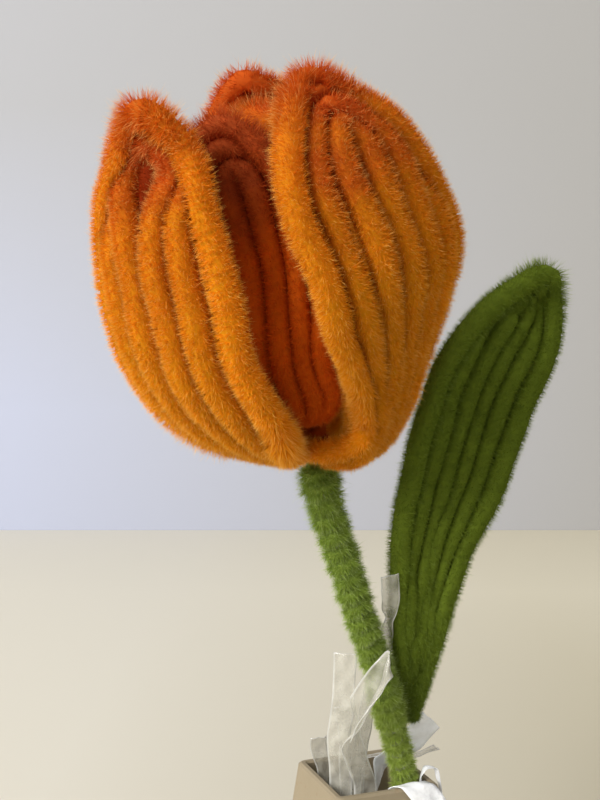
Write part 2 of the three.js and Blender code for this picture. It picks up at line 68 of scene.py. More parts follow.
# Each petal: direction round the bloom in degrees from the front, and as for the leaf its loops'
# distances from its middle and the lengths over which they close to a point (left, right), step
# between loop tips, narrowing at the foot, shape of the points, sideways sway of its middle, and
# its middle line as radius and height. An eye has its place as a share of the length, half length
# and sizes to the left and right. A tuck is how far behind its neighbours one strand runs. reds
# moves the loops' colour towards the tips' red, from the inside out, and ticked is the loop whose
# ridges show, with painted light on them and painted shade between them. A burst of longer fibres
# on the outermost loop has its place, half length and size.
OUTER_POINT = (1.75, 0.78)
INNER_POINT = (1.9, 0.6)
INNER_REACH = (2.1, 6.2, 10.3)
INNER_ARCH = (4, 8, 14)
PETALS = {
    "petal_outer_left": dict(
        azimuth=-41, rise=1.9, foot=0.12, spread=30, point=OUTER_POINT,
        reach=((3.8, 8.9, 13.4), (1.9, 7, 12.6)), arch=((7, 15, 26.5), (7, 15, 26.5)),
        eye=(0.875, 5, (1.8, 3)), reds=(0.11, 0.08, -0.05), ticked=2, burst=(18, 6, 0.9),
        sway=[(0, 0), (0.2, 0.2), (0.4, 0.3), (0.6, 0.9), (0.8, 1.4), (0.9, 3.2), (1, 4.2)],
        line=[(2.3, 4.7), (8.9, 6.8), (14.5, 10.5), (20.5, 16), (25.4, 23.7), (27.5, 33),
              (27.2, 40.8), (26.1, 48.9), (24.2, 56.9), (22.9, 63.2), (23.2, 67.5)]),
    "petal_outer_right": dict(
        azimuth=42, rise=2.7, foot=0.13, spread=50, point=OUTER_POINT, tuck=2.6,
        reds=(0.1, 0.1, 0.1, 0.02, -0.1), ticked=2,
        reach=((2.4, 7.1, 9.3, 11.5), (2.3, 6.7, 10.9, 14.4)),
        arch=((8.4, 13, 15, 20), (4, 11, 14, 29)),
        sway=[(0, 0.1), (0.2, 2.8), (0.4, 1.5), (0.6, -2.6), (0.8, -4.6), (0.9, -4.3), (1, -3.7)],
        line=[(2.2, 1.7), (8.8, 3.3), (13.6, 7), (16.4, 11.1), (20.6, 18.8), (26.4, 27.9),
              (31.6, 37.8), (31.8, 47.4), (29.6, 56.7), (25.1, 63.2), (22.8, 66)]),
    "petal_outer_back": dict(
        azimuth=178.4, rise=2.6, foot=0.12, spread=26, point=OUTER_POINT,
        reds=(0.06, 0.06, 0.04, 0.03),
        reach=((2.1, 6.2, 10.3, 14.2), (2.1, 6.2, 10.3, 14.2)),
        arch=((4, 9, 15, 25.5), (4, 9, 15, 26)), sway=[(0, 0), (0.3, -0.3), (0.6, -1.1), (1, -0.7)],
        line=[(2, 3), (9, 2.6), (15, 5.3), (20.5, 10.5), (25, 18), (27.9, 27), (28.8, 36),
              (28.2, 46), (26.3, 55), (23.5, 62.2), (20.2, 67.1)]),
    "petal_inner_front": dict(
        azimuth=-8.6, rise=3.2, foot=0.14, spread=15, point=INNER_POINT,
        reach=((1.5, 5.9, 10.3), (2.4, 5.8, 8.8)), arch=((4, 8, 13), (3.3, 8, 19.5)),
        sway=[(0, 0.3), (0.3, -1.5), (0.6, 1.2), (1, -0.8)],
        line=[(2, 11), (7.1, 12.6), (10.7, 15.6), (14.6, 21.8), (17, 30.2), (16.3, 40.8),
              (13.6, 50.8), (11.9, 58), (10.8, 62)]),
    "petal_inner_right": dict(
        azimuth=128, rise=3.2, foot=0.14, spread=16, point=INNER_POINT,
        reach=(INNER_REACH, INNER_REACH), arch=(INNER_ARCH, INNER_ARCH),
        sway=[(0, 0), (0.3, 0), (0.6, 0.3), (1, 1.8)],
        line=[(2, 9.6), (8, 9.8), (13, 12.9), (17.1, 19.9), (18.7, 30), (17, 41), (12.9, 51),
              (8.3, 57.9), (5, 61.3)]),
    "petal_inner_left": dict(
        azimuth=-116, rise=3.2, foot=0.14, spread=16, point=INNER_POINT,
        reach=(INNER_REACH, INNER_REACH), arch=(INNER_ARCH, INNER_ARCH), sway=[(0, 0), (1, 0)],
        line=[(2, 10.2), (8, 10.8), (12.7, 14.2), (16.6, 21.4), (18.4, 30.5), (16.6, 40), (13, 49),
              (9, 56)]),
}
LEAF = dict(rise=2.6, foot=0.14, spread=70, point=(1.75, 0.72),
            reach=((1.3, 5.3, 9.1), (1.5, 5.2, 9.2)), arch=((5, 14, 28), (5, 11, 18)))
# A tuck sets in over TUCK_START, and fades as its loop closes, which is told from the width that
# the loop would have if it closed all at once. Strands are thin at the foot, over FOOT_LENGTH.
TUCK_START = 14
SHORT_ARCH = ((0.1,) * 4, (0.1,) * 4)
FOOT_LENGTH = 9

# Strands: the step between the points of a middle line, and the sizes and waves of its wander
# sideways and outwards. Where the next loop is nearer than CROWDED, a loop sinks behind it by
# SINKING of what is lacking.
PATH_STEP = 0.8
SIDE_WANDER = (0.22, 26)
OUT_WANDER = (0.3, 22)
CROWDED = 3.4
SINKING = 0.8


def unit(vectors):
    """Vectors scaled to length 1, along the last axis."""
    return vectors / np.linalg.norm(vectors, axis=-1, keepdims=True)


def add_object(name, data):
    """A new object in the scene, from a mesh, light or camera."""
    thing = bpy.data.objects.new(name, data)
    bpy.context.collection.objects.link(thing)
    return thing


class Line:
    """A smooth line through points (centripetal Catmull-Rom), read by distance along it."""

    def __init__(self, points, steps=60):
        p = np.array(points, float)
        ends = np.vstack([2 * p[0] - p[1], p, 2 * p[-1] - p[-2]])
        t = np.linspace(0, 1, steps, endpoint=False)[:, None]
        samples = []
        for a, b, c, d in zip(ends, ends[1:], ends[2:], ends[3:]):
            ab, bc, cd = (math.sqrt(np.linalg.norm(q - r)) for q, r in ((b, a), (c, b), (d, c)))
            out = ((b - a) / ab - (c - a) / (ab + bc) + (c - b) / bc) * bc
            into = ((c - b) / bc - (d - b) / (bc + cd) + (d - c) / cd) * bc
            samples.append(b + out * t + (3 * (c - b) - 2 * out - into) * t ** 2
                           + (2 * (b - c) + out + into) * t ** 3)
        samples.append(p[-1:])
        self.points = np.vstack(samples)
        steps_along = np.linalg.norm(np.diff(self.points, axis=0), axis=1)
        self.distance = np.concatenate([[0], np.cumsum(steps_along)])
        self.length = self.distance[-1]

    def at(self, s):
        return np.stack([np.interp(s, self.distance, c) for c in self.points.T], axis=-1)

    def along(self, s, reach=0.2):
        """The unit vector along the line, between points a little before and after."""
        s = np.clip(s, reach, self.length - reach)
        return unit(self.at(s + reach) - self.at(s - reach))


def bloom_frame():
    """Unit vectors up the bloom, to its right and away from its front."""
    up = unit(np.array([-math.tan(BLOOM_LEAN_LEFT), -math.tan(BLOOM_LEAN_FORWARD), 1.0]))
    right = unit(X_AXIS - X_AXIS.dot(up) * up)
    return up, right, np.cross(up, right)


BLOOM_UP, BLOOM_RIGHT, BLOOM_BACK = bloom_frame()
CORE_TOP = BLOOM_BASE + BLOOM_UP * (BLOOM_INSIDE + 1.5)
STEM = Line([*STEM_POINTS, BLOOM_BASE, CORE_TOP])


def ease(x):
    """Rises smoothly from 0 to 1 as x does, and stays level outside."""
    x = np.clip(x, 0, 1)
    return x * x * (3 - 2 * x)


def hump(x, middle, half):
    """A soft hump of height 1 round a middle, with its half length."""
    return np.exp(-((x - middle) / half) ** 2)


def petal_surface(petal):
    """The function that gives the place of a point u across and v up a petal, raised by w, and the
    petal's length."""
    line = Line([(r, 0, z) for r, z in petal["line"]])
    sway = Line([(share * line.length, shift, 0) for share, shift in petal["sway"]])
    azimuth = math.radians(petal["azimuth"])
    outwards = BLOOM_RIGHT * math.sin(azimuth) - BLOOM_BACK * math.cos(azimuth)
    sideways = BLOOM_RIGHT * math.cos(azimuth) + BLOOM_BACK * math.sin(azimuth)

    def place(u, v, w=0.0):
        spot = line.at(np.clip(v, 0, line.length))
        angle = (u + sway.at(v)[..., 1]) / PETAL_CROSS_RADIUS
        reach = spot[..., 0] - PETAL_CROSS_RADIUS + (PETAL_CROSS_RADIUS + w) * np.cos(angle)
        return (BLOOM_BASE + reach[..., None] * outwards
                + ((PETAL_CROSS_RADIUS + w) * np.sin(angle))[..., None] * sideways
                + spot[..., 2][..., None] * BLOOM_UP)

    return place, line.length


def leaf_surface():
    """The same for the leaf, which turns a little about its middle line."""
    line = Line(LEAF_LINE)

    def place(u, v, w=0.0):
        v = np.clip(v, 0, line.length)
        along = line.along(v)
        across = unit(X_AXIS - along[..., :1] * along)
        back = np.cross(along, across)
        turn = LEAF_TIP_TURN * v / line.length
        cos, sin = np.cos(turn)[..., None], np.sin(turn)[..., None]
        across, back = across * cos + back * sin, back * cos - across * sin
        angle = (u / LEAF_HOLLOW)[..., None]
        radius = LEAF_HOLLOW - np.broadcast_to(w, u.shape)[..., None]
        sunk = radius * np.cos(angle) - LEAF_HOLLOW
        return line.at(v) + across * radius * np.sin(angle) + back * sunk

    return place, line.length


def face_normal(place, u, v, d=0.05):
    """The outward direction of a petal's or the leaf's surface."""
    return unit(np.cross(place(u + d, v) - place(u - d, v), place(u, v + d) - place(u, v - d)))


def wander(distance, rng, size, wave):
    """A slow seeded wander along a strand, so that no two strands run quite alike."""
    total = np.zeros_like(distance)
    for share in (1.0, 0.6, 0.35):
        length = wave * share * rng.uniform(0.8, 1.25)
        total += share * np.sin(2 * math.pi * (distance / length + rng.random()))
    return size * total / 1.95


def loops_in(form):
    return len(form["reach"][0])


def width_share(form, v):
    """What share of its full width a petal has at a distance v up it, before its loops close."""
    return form["foot"] + (1 - form["foot"]) * ease(v / form["spread"])


def eye_share(form, tip, v):
    """How far a petal's eye has opened at a distance v up it, up to 1."""
    share, half, _ = form["eye"]
    return hump(v, share * tip, half)


def arch_start(form, tip, side, k):
    """How far up the petal one side of loop k starts to close to its point."""
    return tip - form["rise"] * (loops_in(form) - 1 - k) - form["arch"][side][k]


def half_width(form, tip, side, k, v):
    """How far loop k is from the petal's middle on one side, at a distance v up the petal."""
    sharpness, fullness = form["point"]
    turn = np.clip((v - arch_start(form, tip, side, k)) / form["arch"][side][k], 0, 1)
    u = form["reach"][side][k] * width_share(form, v)
    if "eye" in form:
        u = u + form["eye"][2][side] * (1 - k / loops_in(form)) * eye_share(form, tip, v)
    return u * (1 - turn ** sharpness) ** fullness


def loop_path(form, place, tip, k, rng):
    """The middle line of loop k from its left foot over its tip to its right foot, the petal's
    outward direction at each point, and each point's distance v up the petal. In the petal's
    upper half it sinks behind the next loop where it comes close to it."""
    loops = loops_in(form)
    parts = []
    for side in (0, 1):
        bend = form["arch"][side][k]
        start = arch_start(form, tip, side, k)
        straight = np.arange(0, start, PATH_STEP)
        turn = np.sin(np.linspace(0, math.pi / 2, max(10, int(1.6 * bend))))
        v = np.concatenate([straight, start + bend * turn])
        u = half_width(form, tip, side, k, v)
        w = np.zeros_like(v)
        if k < loops - 1:
            gap = half_width(form, tip, side, k + 1, v) - u
            w = -SINKING * np.clip(CROWDED - gap, 0, 1.6) * ease((v / tip - 0.5) * 5)
        if side == 0 and k == loops - 2:
            unclosed = half_width(dict(form, arch=SHORT_ARCH), tip, side, k, v)
            narrow = np.minimum(u / np.maximum(unclosed, 0.1), 1)
            w = w - form.get("tuck", 0.0) * ease(v / TUCK_START) * narrow
        parts.append((u * (2 * side - 1), v, w))
    u, v, w = (np.concatenate([left, right[-2::-1]]) for left, right in zip(*parts))
    distance = np.arange(len(u)) * PATH_STEP
    free = ease(v / 12)
    u = u + wander(distance, rng, *SIDE_WANDER) * free
    normal = face_normal(place, u, v)
    path = place(u, v, w) + normal * (wander(distance, rng, *OUT_WANDER) * free)[:, None]
    return path, normal, v


def slit_path(form, place, tip):
    """The middle line of a strand behind the slit between the innermost loop's two sides, its
    outward direction and its size."""
    inner_tip = tip - form["rise"] * (loops_in(form) - 1)
    v = np.arange(0.15 * tip, inner_tip - 0.5, PATH_STEP)
    width = width_share(form, v)
    u = (form["reach"][1][0] - form["reach"][0][0]) / 2 * width
    size = np.minimum(1, 0.4 + 0.6 * width)
    if "eye" in form:
        left, right = form["eye"][2]
        opened = eye_share(form, tip, v)
        u = u + 0.5 * (right - left) * opened
        size = size * (1 + 0.6 * opened)
    return place(u, v, -2.2), face_normal(place, u, v), size


# Where strands meet: a strand takes no notice of its own points within OWN_REACH along it, of any
# farther off than NEAR_STRAND, or of those so near that the two have MERGED, and it is never
# SQUEEZED nearer to its middle than this.
OWN_REACH = 5.0
NEAR_STRAND = 6.5
MERGED = 2.2
SQUEEZED = 1.5


def room(strand, centre, s, outward, others):
    """How far a strand reaches in each outward direction before it meets another strand, or a
    farther part of itself: half way between their middles, where both are squeezed flat."""
    near = np.concatenate([strand.path, others]) if len(others) else strand.path
    apart = near[None, :, :] - centre[:, None, :]
    square = (apart ** 2).sum(-1)
    own = np.zeros(square.shape, bool)
    own[:, :len(strand.path)] = np.abs(s[:, None] - strand.distance[None, :]) < OWN_REACH
    square = np.where(own | (square > NEAR_STRAND ** 2) | (square < MERGED ** 2), np.inf, square)
    limit = np.empty(outward.shape[:2])
    for a in range(outward.shape[1]):
        towards = np.einsum("nmc,nc->nm", apart, outward[:, a])
        half_way = square / (2 * np.maximum(towards, 0.1))
        limit[:, a] = np.where(towards > 0.1, half_way, np.inf).min(1)
    limit = np.clip(limit, SQUEEZED, NEAR_STRAND)
    limit[1:-1] = (limit[:-2] + limit[1:-1] + limit[2:]) / 3
    return limit


class Strand:
    """A chenille strand: a dense body whose pile stands in two ridges wound round it, and loose
    fibres that stand out of it. It has its middle line and outward direction, the body's radius
    and the pile's reach beyond it at each point, and the fibres in a millimetre of it. The style
    can change the values below."""

    twist = 2.8      # length in which the ridges wind round it once
    swirl = 0.2      # how far fibres bend round it
    spread = 0.9     # how far in radians they stray from their ridge
    back = 1.0       # share of fibres kept on its inner side
    squeeze = True   # whether the strands beside it flatten it
    striped = 0.08   # painted light on its ridges and painted shade between them
    depth = 0.5      # painted shade in the grooves beside it, also one number for each point
    painted_shade = 0.0       # painted shade over all of it; below 0 it is painted light
    red = 0.0        # how far its colour moves towards the tips' red
    painted_root_shade = 0.0     # how much of it has the roots' painted shade

    def __init__(self, path, normal, radius, pile, density, **style):
        self.path, self.normal, self.radius, self.pile = path, normal, radius, pile
        for key, value in style.items():
            setattr(self, key, value)
        steps = np.linalg.norm(np.diff(path, axis=0), axis=1)
        self.distance = np.concatenate([[0], np.cumsum(steps)])
        self.length = self.distance[-1]
        self.fibres = int(self.length * density)
        self.direction = unit(np.gradient(path, self.distance, axis=0))
        self.groove_shade_along = np.broadcast_to(self.depth, self.distance.shape)

    def read(self, values, s):
        """Values known at the path's points, at distances s along it."""
        return np.stack([np.interp(s, self.distance, c) for c in values.T], axis=-1)

    def basis(self, s):
        """The middle, and unit vectors along, outwards and sideways."""
        t = unit(self.read(self.direction, s))
        n = self.read(self.normal, s)
        n = unit(n - (n * t).sum(-1, keepdims=True) * t)
        return self.read(self.path, s), t, n, np.cross(t, n)


# A strand's body has BODY_SIDES, and rings RING_STEP apart. A fibre's foot is FIBRE_WIDTH wide and
# lies FIBRE_DEPTH below the body's surface, and none is made shorter than LEAST_FIBRE. LOOSE_SHARE
# of them stand out loosely: their ends paler with painted rim light, and longer by up to
# LOOSE_LENGTH of their reach.
BODY_SIDES = 14
RING_STEP = 0.6
FIBRE_WIDTH = 0.095
FIBRE_DEPTH = 0.25
LEAST_FIBRE = 0.35
LOOSE_SHARE = 0.16
LOOSE_LENGTH = 0.6


class Fuzz:
    """Collects the points, triangles and attributes of one piece's strands, then makes its mesh.
    Each point keeps how far up its fibre it is, which is lowered where painted shade deepens its
    colour, its fibre's shade, which holds painted light and shade as well as its own tone, and how
    red its strand is."""

    def __init__(self, seed):
        self.rng = np.random.default_rng(seed)
        self.points = []
        self.faces = []
        self.values = []
        self.count = 0

    def add(self, points, faces, *values):
        self.points.append(points)
        self.faces.append(faces + self.count)
        self.values.append(np.stack([np.broadcast_to(v, len(points)) for v in values], -1))
        self.count += len(points)

    def add_strand(self, strand, others=()):
        """Adds a strand. others are points on the strands beside it."""
        self.add_fibres(strand, self.add_body(strand, others))

    def add_body(self, strand, others):
        """The dense body as a closed tube. Gives the room it has at each ring and side."""
        ring_s = np.linspace(0, strand.length, max(4, int(strand.length / RING_STEP)))
        rings, sides = len(ring_s), BODY_SIDES
        centre, _, n, b = strand.basis(ring_s)
        angle = np.linspace(0, 2 * math.pi, sides, endpoint=False)
        outward = (n[:, None] * np.cos(angle)[None, :, None]
                   + b[:, None] * np.sin(angle)[None, :, None])
        limit = np.full((rings, sides), NEAR_STRAND)
        if strand.squeeze:
            limit = room(strand, centre, ring_s, outward, others)
        ridge = np.cos(2 * (angle[None, :] - 2 * math.pi * ring_s[:, None] / strand.twist))
        lumps = 1 + self.rng.normal(0, 0.02, (rings, sides)) + 0.015 * ridge
        body = np.interp(ring_s, strand.distance, strand.radius)
        size = np.minimum(body[:, None] * lumps, limit)
        size[[0, -1]] *= 0.55
        points = centre[:, None] + outward * size[..., None]
        i, j = np.meshgrid(np.arange(rings - 1), np.arange(sides), indexing="ij")
        low, next_low = i * sides + j, i * sides + (j + 1) % sides
        high, next_high = low + sides, next_low + sides
        walls = np.concatenate([
            np.stack([low, next_low, next_high], -1).reshape(-1, 3),
            np.stack([low, next_high, high], -1).reshape(-1, 3)])
        fan = np.arange(1, sides - 1)
        zero = np.zeros_like(fan)
        last = (rings - 1) * sides
        caps = np.concatenate([np.stack([zero, fan + 1, fan], -1),
                               np.stack([zero + last, fan + last, fan + 1 + last], -1)])
        whole = np.interp(ring_s, strand.distance, strand.radius + strand.pile)[:, None]
        groove = np.clip(3 - 3 * limit / whole, 0, 1)
        # Painted light on the ridges and painted shade between them, over each point's own random
        # tone.
        shade = (0.62 - strand.painted_shade + strand.striped * ridge
                 + self.rng.normal(0, 0.05, (rings, sides)))
        # Painted shade in the grooves where other strands crowd the body; there it also takes more
        # of the roots' painted shade.
        shade = shade - np.interp(ring_s, strand.distance, strand.groove_shade_along)[:, None] * groove
        tip = 0.8 * (1 - strand.painted_root_shade) * (1 - groove)
        self.add(points.reshape(-1, 3), np.concatenate([walls, caps]), tip.ravel(),
                 np.clip(shade, 0, 1).ravel(), strand.red)
        return limit

    def add_fibres(self, strand, limit):
        """The pile: one narrow triangle for each fibre, as long as the room round it allows."""
        rng, count, length = self.rng, strand.fibres, strand.length
        s = (np.arange(count) + rng.random(count)) / count * length
        stray = rng.normal(0, strand.spread, count)
        turn = 2 * math.pi * s / strand.twist + math.pi * rng.integers(0, 2, count) + stray
        centre, t, n, b = strand.basis(s)
        out = n * np.cos(turn)[:, None] + b * np.sin(turn)[:, None]
        around = b * np.cos(turn)[:, None] - n * np.sin(turn)[:, None]
        row = np.cos(2 * stray)
        rings, sides = limit.shape
        ring_at = np.minimum((s / length * (rings - 1) + 0.5).astype(int), rings - 1)
        side_at = (np.mod(turn, 2 * math.pi) / (2 * math.pi) * sides + 0.5).astype(int) % sides
        free = limit[ring_at, side_at]
        base = np.interp(s, strand.distance, strand.radius)
        reach = np.interp(s, strand.distance, strand.pile)
        reach = reach * (0.7 + 0.3 * rng.random(count) + 0.1 * row)
        loose = (rng.random(count) < LOOSE_SHARE) * (0.3 + 0.7 * rng.random(count))
        reach = reach * (1 + LOOSE_LENGTH * loose)
        root = np.minimum(base, free) - FIBRE_DEPTH
        groove = np.clip(3 - 3 * free / (base + reach), 0, 1)
        reach = np.minimum(base + reach, free + 0.15 * rng.random(count)) - root
        lean = rng.normal(0, 0.28, count) - 0.12 * np.sin(2 * stray)
        curl = strand.swirl + rng.normal(0, 0.28, count)
        start = centre + out * root[:, None]
        end = start + (out + t * lean[:, None] + around * curl[:, None]) * reach[:, None]
        fibre = unit(end - start)
        flat = np.cross(fibre, out) + 0.5 * rng.normal(0, 1, (count, 3))
        wide = unit(np.cross(fibre, np.cross(flat, fibre))) * (FIBRE_WIDTH / 2)
        points = np.stack([start - wide, start + wide, end], axis=1)
        in_front = (np.cos(turn) > -0.2) | (rng.random(count) < strand.back)
        kept = (reach > LEAST_FIBRE) & in_front
        points = points[kept].reshape(-1, 3)
        # Each fibre's own random tone, with painted light on its ridge and the strand's painted
        # shade.
        shade = 0.55 + 0.8 * strand.striped * row + rng.normal(0, 0.04, count) - strand.painted_shade
        # Painted shade in the grooves, where the fibres also take more of the roots' painted shade.
        shade = shade - 0.8 * np.interp(s, strand.distance, strand.groove_shade_along) * groove
        tip = np.outer((1 - strand.painted_root_shade) * (1 - groove), (0.5, 0.5, 1.0))
        # The loose fibres' ends get painted rim light.
        tip[:, 2] += 0.3 * (loose > 0) * (1 - groove) * (1 - strand.painted_root_shade)
        self.add(points, np.arange(len(points)).reshape(-1, 3), tip[kept].ravel(),
                 np.repeat(np.clip(shade, 0, 1)[kept], 3), strand.red)

    def make(self, name):
        points = np.concatenate(self.points)
        faces = np.concatenate(self.faces)
        mesh = bpy.data.meshes.new(name)
        mesh.vertices.add(len(points))
        mesh.vertices.foreach_set("co", (points * MM).astype(np.float32).ravel())
        mesh.loops.add(faces.size)
        mesh.loops.foreach_set("vertex_index", faces.astype(np.int32).ravel())
        mesh.polygons.add(len(faces))
        mesh.polygons.foreach_set("loop_start", np.arange(0, faces.size, 3, dtype=np.int32))
        for key, values in zip(("tip", "shade", "red"), np.concatenate(self.values).T):
            attribute = mesh.attributes.new(key, "FLOAT", "POINT")
            attribute.data.foreach_set("value", np.ascontiguousarray(values, np.float32))
        mesh.polygons.foreach_set("use_smooth", np.ones(len(faces), bool))
        mesh.update(calc_edges=True)
        mesh.validate()
        return add_object(name, mesh)


class Nodes:
    """Short calls for building a material's node tree."""

    def __init__(self, name):
        self.material = bpy.data.materials.new(name)
        self.material.use_nodes = True
        self.tree = self.material.node_tree
        self.tree.nodes.clear()
        self.output = self.add("ShaderNodeOutputMaterial")

    def add(self, kind, **settings):
        node = self.tree.nodes.new(kind)
        for key, value in settings.items():
            setattr(node, key, value)
        return node

    def link(self, source, target):
        self.tree.links.new(source, target)

    def value(self, target, value):
        if hasattr(value, "is_output"):
            self.link(value, target)
        else:
            target.default_value = value

    def attribute(self, name):
        return self.add("ShaderNodeAttribute", attribute_name=name).outputs["Fac"]

    def position(self):
        return self.add("ShaderNodeNewGeometry").outputs["Position"]

    def noise(self, scale, detail):
        node = self.add("ShaderNodeTexNoise")
        node.inputs["Scale"].default_value = scale
        node.inputs["Detail"].default_value = detail
        node.inputs["Roughness"].default_value = 0.5
        self.link(self.position(), node.inputs["Vector"])
        return node.outputs["Fac"]

    def math(self, operation, a, b):
        node = self.add("ShaderNodeMath", operation=operation)
        self.value(node.inputs[0], a)
        self.value(node.inputs[1], b)
        return node.outputs[0]

    def mapped(self, value, low, high, out_low, out_high):
        node = self.add("ShaderNodeMapRange")
        for key, number in zip(("Value", "From Min", "From Max", "To Min", "To Max"),
                               (value, low, high, out_low, out_high)):
            self.value(node.inputs[key], number)
        return node.outputs["Result"]

    def ramp(self, value, stops):
        node = self.add("ShaderNodeValToRGB")
        elements = node.color_ramp.elements
        while len(elements) < len(stops):
            elements.new(0.5)
        for element, (place, colour) in zip(elements, stops):
            element.position = place
            element.color = (*colour, 1.0)
        self.link(value, node.inputs["Fac"])
        return node.outputs["Color"]

    def mix(self, share, a, b, blend="MIX"):
        node = self.add("ShaderNodeMix", data_type="RGBA", blend_type=blend)
        self.value(node.inputs[0], share)
        for socket, colour in ((node.inputs[6], a), (node.inputs[7], b)):
            self.value(socket, colour if hasattr(colour, "is_output") else (*colour, 1.0))
        return node.outputs[2]

    def principled(self, **values):
        node = self.add("ShaderNodeBsdfPrincipled")
        for key, value in values.items():
            self.value(node.inputs[key.replace("_", " ")], value)
        return node

    def bump(self, skin, height, strength, distance):
        """Puts bumps on a skin. Their distance is in metres."""
        node = self.add("ShaderNodeBump")
        node.inputs["Strength"].default_value = strength
        node.inputs["Distance"].default_value = distance
        self.link(height, node.inputs["Height"])
        self.link(node.outputs["Normal"], skin.inputs["Normal"])

    def finish(self, shader):
        self.link(shader.outputs[0], self.output.inputs["Surface"])
        return self.material

    def finish_translucent(self, skin, colour, through):
        """Finishes with a share of the light passing through the skin."""
        glow = self.add("ShaderNodeBsdfTranslucent")
        self.link(colour, glow.inputs["Color"])
        both = self.add("ShaderNodeMixShader")
        self.value(both.inputs["Fac"], through)
        self.link(skin.outputs[0], both.inputs[1])
        self.link(glow.outputs[0], both.inputs[2])
        return self.finish(both)


def height_up_bloom(nodes):
    """A point's height up the bloom's own axis, from 0 at its base to 1 at its top."""
    offset = nodes.add("ShaderNodeVectorMath", operation="SUBTRACT")
    nodes.link(nodes.position(), offset.inputs[0])
    offset.inputs[1].default_value = BLOOM_BASE * MM
    dot = nodes.add("ShaderNodeVectorMath", operation="DOT_PRODUCT")
    nodes.link(offset.outputs[0], dot.inputs[0])
    dot.inputs[1].default_value = BLOOM_UP / (BLOOM_HEIGHT * MM)
    return dot.outputs["Value"]


def chenille_material(name, stops, root, painted_rim_light, through, height=None):
    """Pile: coloured by height with soft patches, with painted shade deepening the colour at the
    roots and in the grooves, painted rim light paling the loose fibres' ends, and each fibre a bit
    lighter or darker, with painted light on its ridges. The height is up the bloom, or between two
    heights given. Some light passes through the fibres."""
    nodes = Nodes(name)
    if height is None:
        place = height_up_bloom(nodes)
    else:
        z = nodes.add("ShaderNodeSeparateXYZ")
        nodes.link(nodes.position(), z.inputs[0])
        place = nodes.mapped(z.outputs["Z"], height[0] * MM, height[1] * MM, 0.0, 1.0)
    patches = nodes.math("SUBTRACT", nodes.noise(scale=110.0, detail=3.0), 0.5)
    place = nodes.math("ADD", place, nodes.math("MULTIPLY", patches, 0.3))
    colour = nodes.ramp(nodes.math("ADD", place, nodes.attribute("red")), stops)
    tip = nodes.attribute("tip")
    # Painted shade: where the tip attribute is low, at the roots and in the grooves, the colour is
    # multiplied by the root colour.
    colour = nodes.mix(tip, nodes.mix(1.0, colour, root, "MULTIPLY"), colour)
    # Painted rim light: the loose fibres' ends turn paler.
    colour = nodes.mix(nodes.mapped(tip, 0.8, 1.3, 0.0, 1.0), colour, painted_rim_light)
    uneven = nodes.mapped(nodes.noise(scale=420.0, detail=2.0), 0.3, 0.7, 0.95, 1.05)
    shade = nodes.mapped(nodes.attribute("shade"), 0.0, 1.0, 0.6, 1.2)
    light = nodes.math("MULTIPLY", shade, uneven)
    shaded = nodes.add("ShaderNodeHueSaturation")
    nodes.link(light, shaded.inputs["Value"])
    nodes.link(colour, shaded.inputs["Color"])
    colour = shaded.outputs["Color"]
    skin = nodes.principled(Base_Color=colour, Roughness=0.8, Specular_IOR_Level=0.08)
    return nodes.finish_translucent(skin, colour, through)


GOLD = (0.90, 0.41, 0.010)
ORANGE = (0.86, 0.32, 0.009)
RED_ORANGE = (0.70, 0.125, 0.012)
outer_pile = chenille_material(
    "orange_pile", [(0.0, GOLD), (0.55, GOLD), (0.82, ORANGE), (0.98, RED_ORANGE)],
    root=(0.65, 0.36, 0.3), painted_rim_light=(1.0, 0.70, 0.22), through=0.5)
# A deeper, redder pile for the front inner petal and the collar: partly their own red, partly
# painted shade inside the bloom's cup.
DEEP_ORANGE = (0.77, 0.15, 0.006)
PINK_BROWN = (0.5, 0.09, 0.018)
inner_pile_painted_shade = chenille_material(
    "red_orange_pile_painted_shade", [(0.0, DEEP_ORANGE), (0.72, DEEP_ORANGE), (0.86, PINK_BROWN)],
    root=(0.85, 0.6, 0.5), painted_rim_light=(0.8, 0.25, 0.06), through=0.4)
LEAF_GREEN = (0.175, 0.24, 0.022)
LEAF_LIGHT = (0.19, 0.265, 0.03)
leaf_pile = chenille_material(
    "dark_green_pile", [(0.0, LEAF_LIGHT), (0.4, LEAF_GREEN), (1.0, LEAF_GREEN)],
    root=(0.75, 0.75, 0.65), painted_rim_light=(0.4, 0.52, 0.13), through=0.45, height=(72, 165))
STEM_LIGHT = (0.42, 0.52, 0.10)
STEM_GREEN = (0.28, 0.38, 0.06)
stem_pile = chenille_material(
    "olive_green_pile", [(0.0, STEM_LIGHT), (0.5, STEM_GREEN), (1.0, STEM_GREEN)],
    root=(0.5, 0.55, 0.45), painted_rim_light=(0.6, 0.7, 0.3), through=0.4, height=(56, 127))


def ceramic_material():
    """Matte tan glaze, a little cloudy, with fine specks."""
    nodes = Nodes("tan_ceramic")
    tone = nodes.ramp(nodes.noise(scale=38.0, detail=4.0),
                      [(0.3, (0.21, 0.17, 0.105)), (0.7, (0.26, 0.21, 0.135))])
    specks = nodes.mapped(nodes.noise(scale=900.0, detail=1.0), 0.66, 0.74, 0.0, 0.5)
    colour = nodes.mix(specks, tone, (0.22, 0.15, 0.08))
    skin = nodes.principled(Base_Color=colour, Roughness=0.62, Specular_IOR_Level=0.35)
    nodes.bump(skin, nodes.noise(scale=420.0, detail=4.0), strength=0.25, distance=0.0004)
    return nodes.finish(skin)


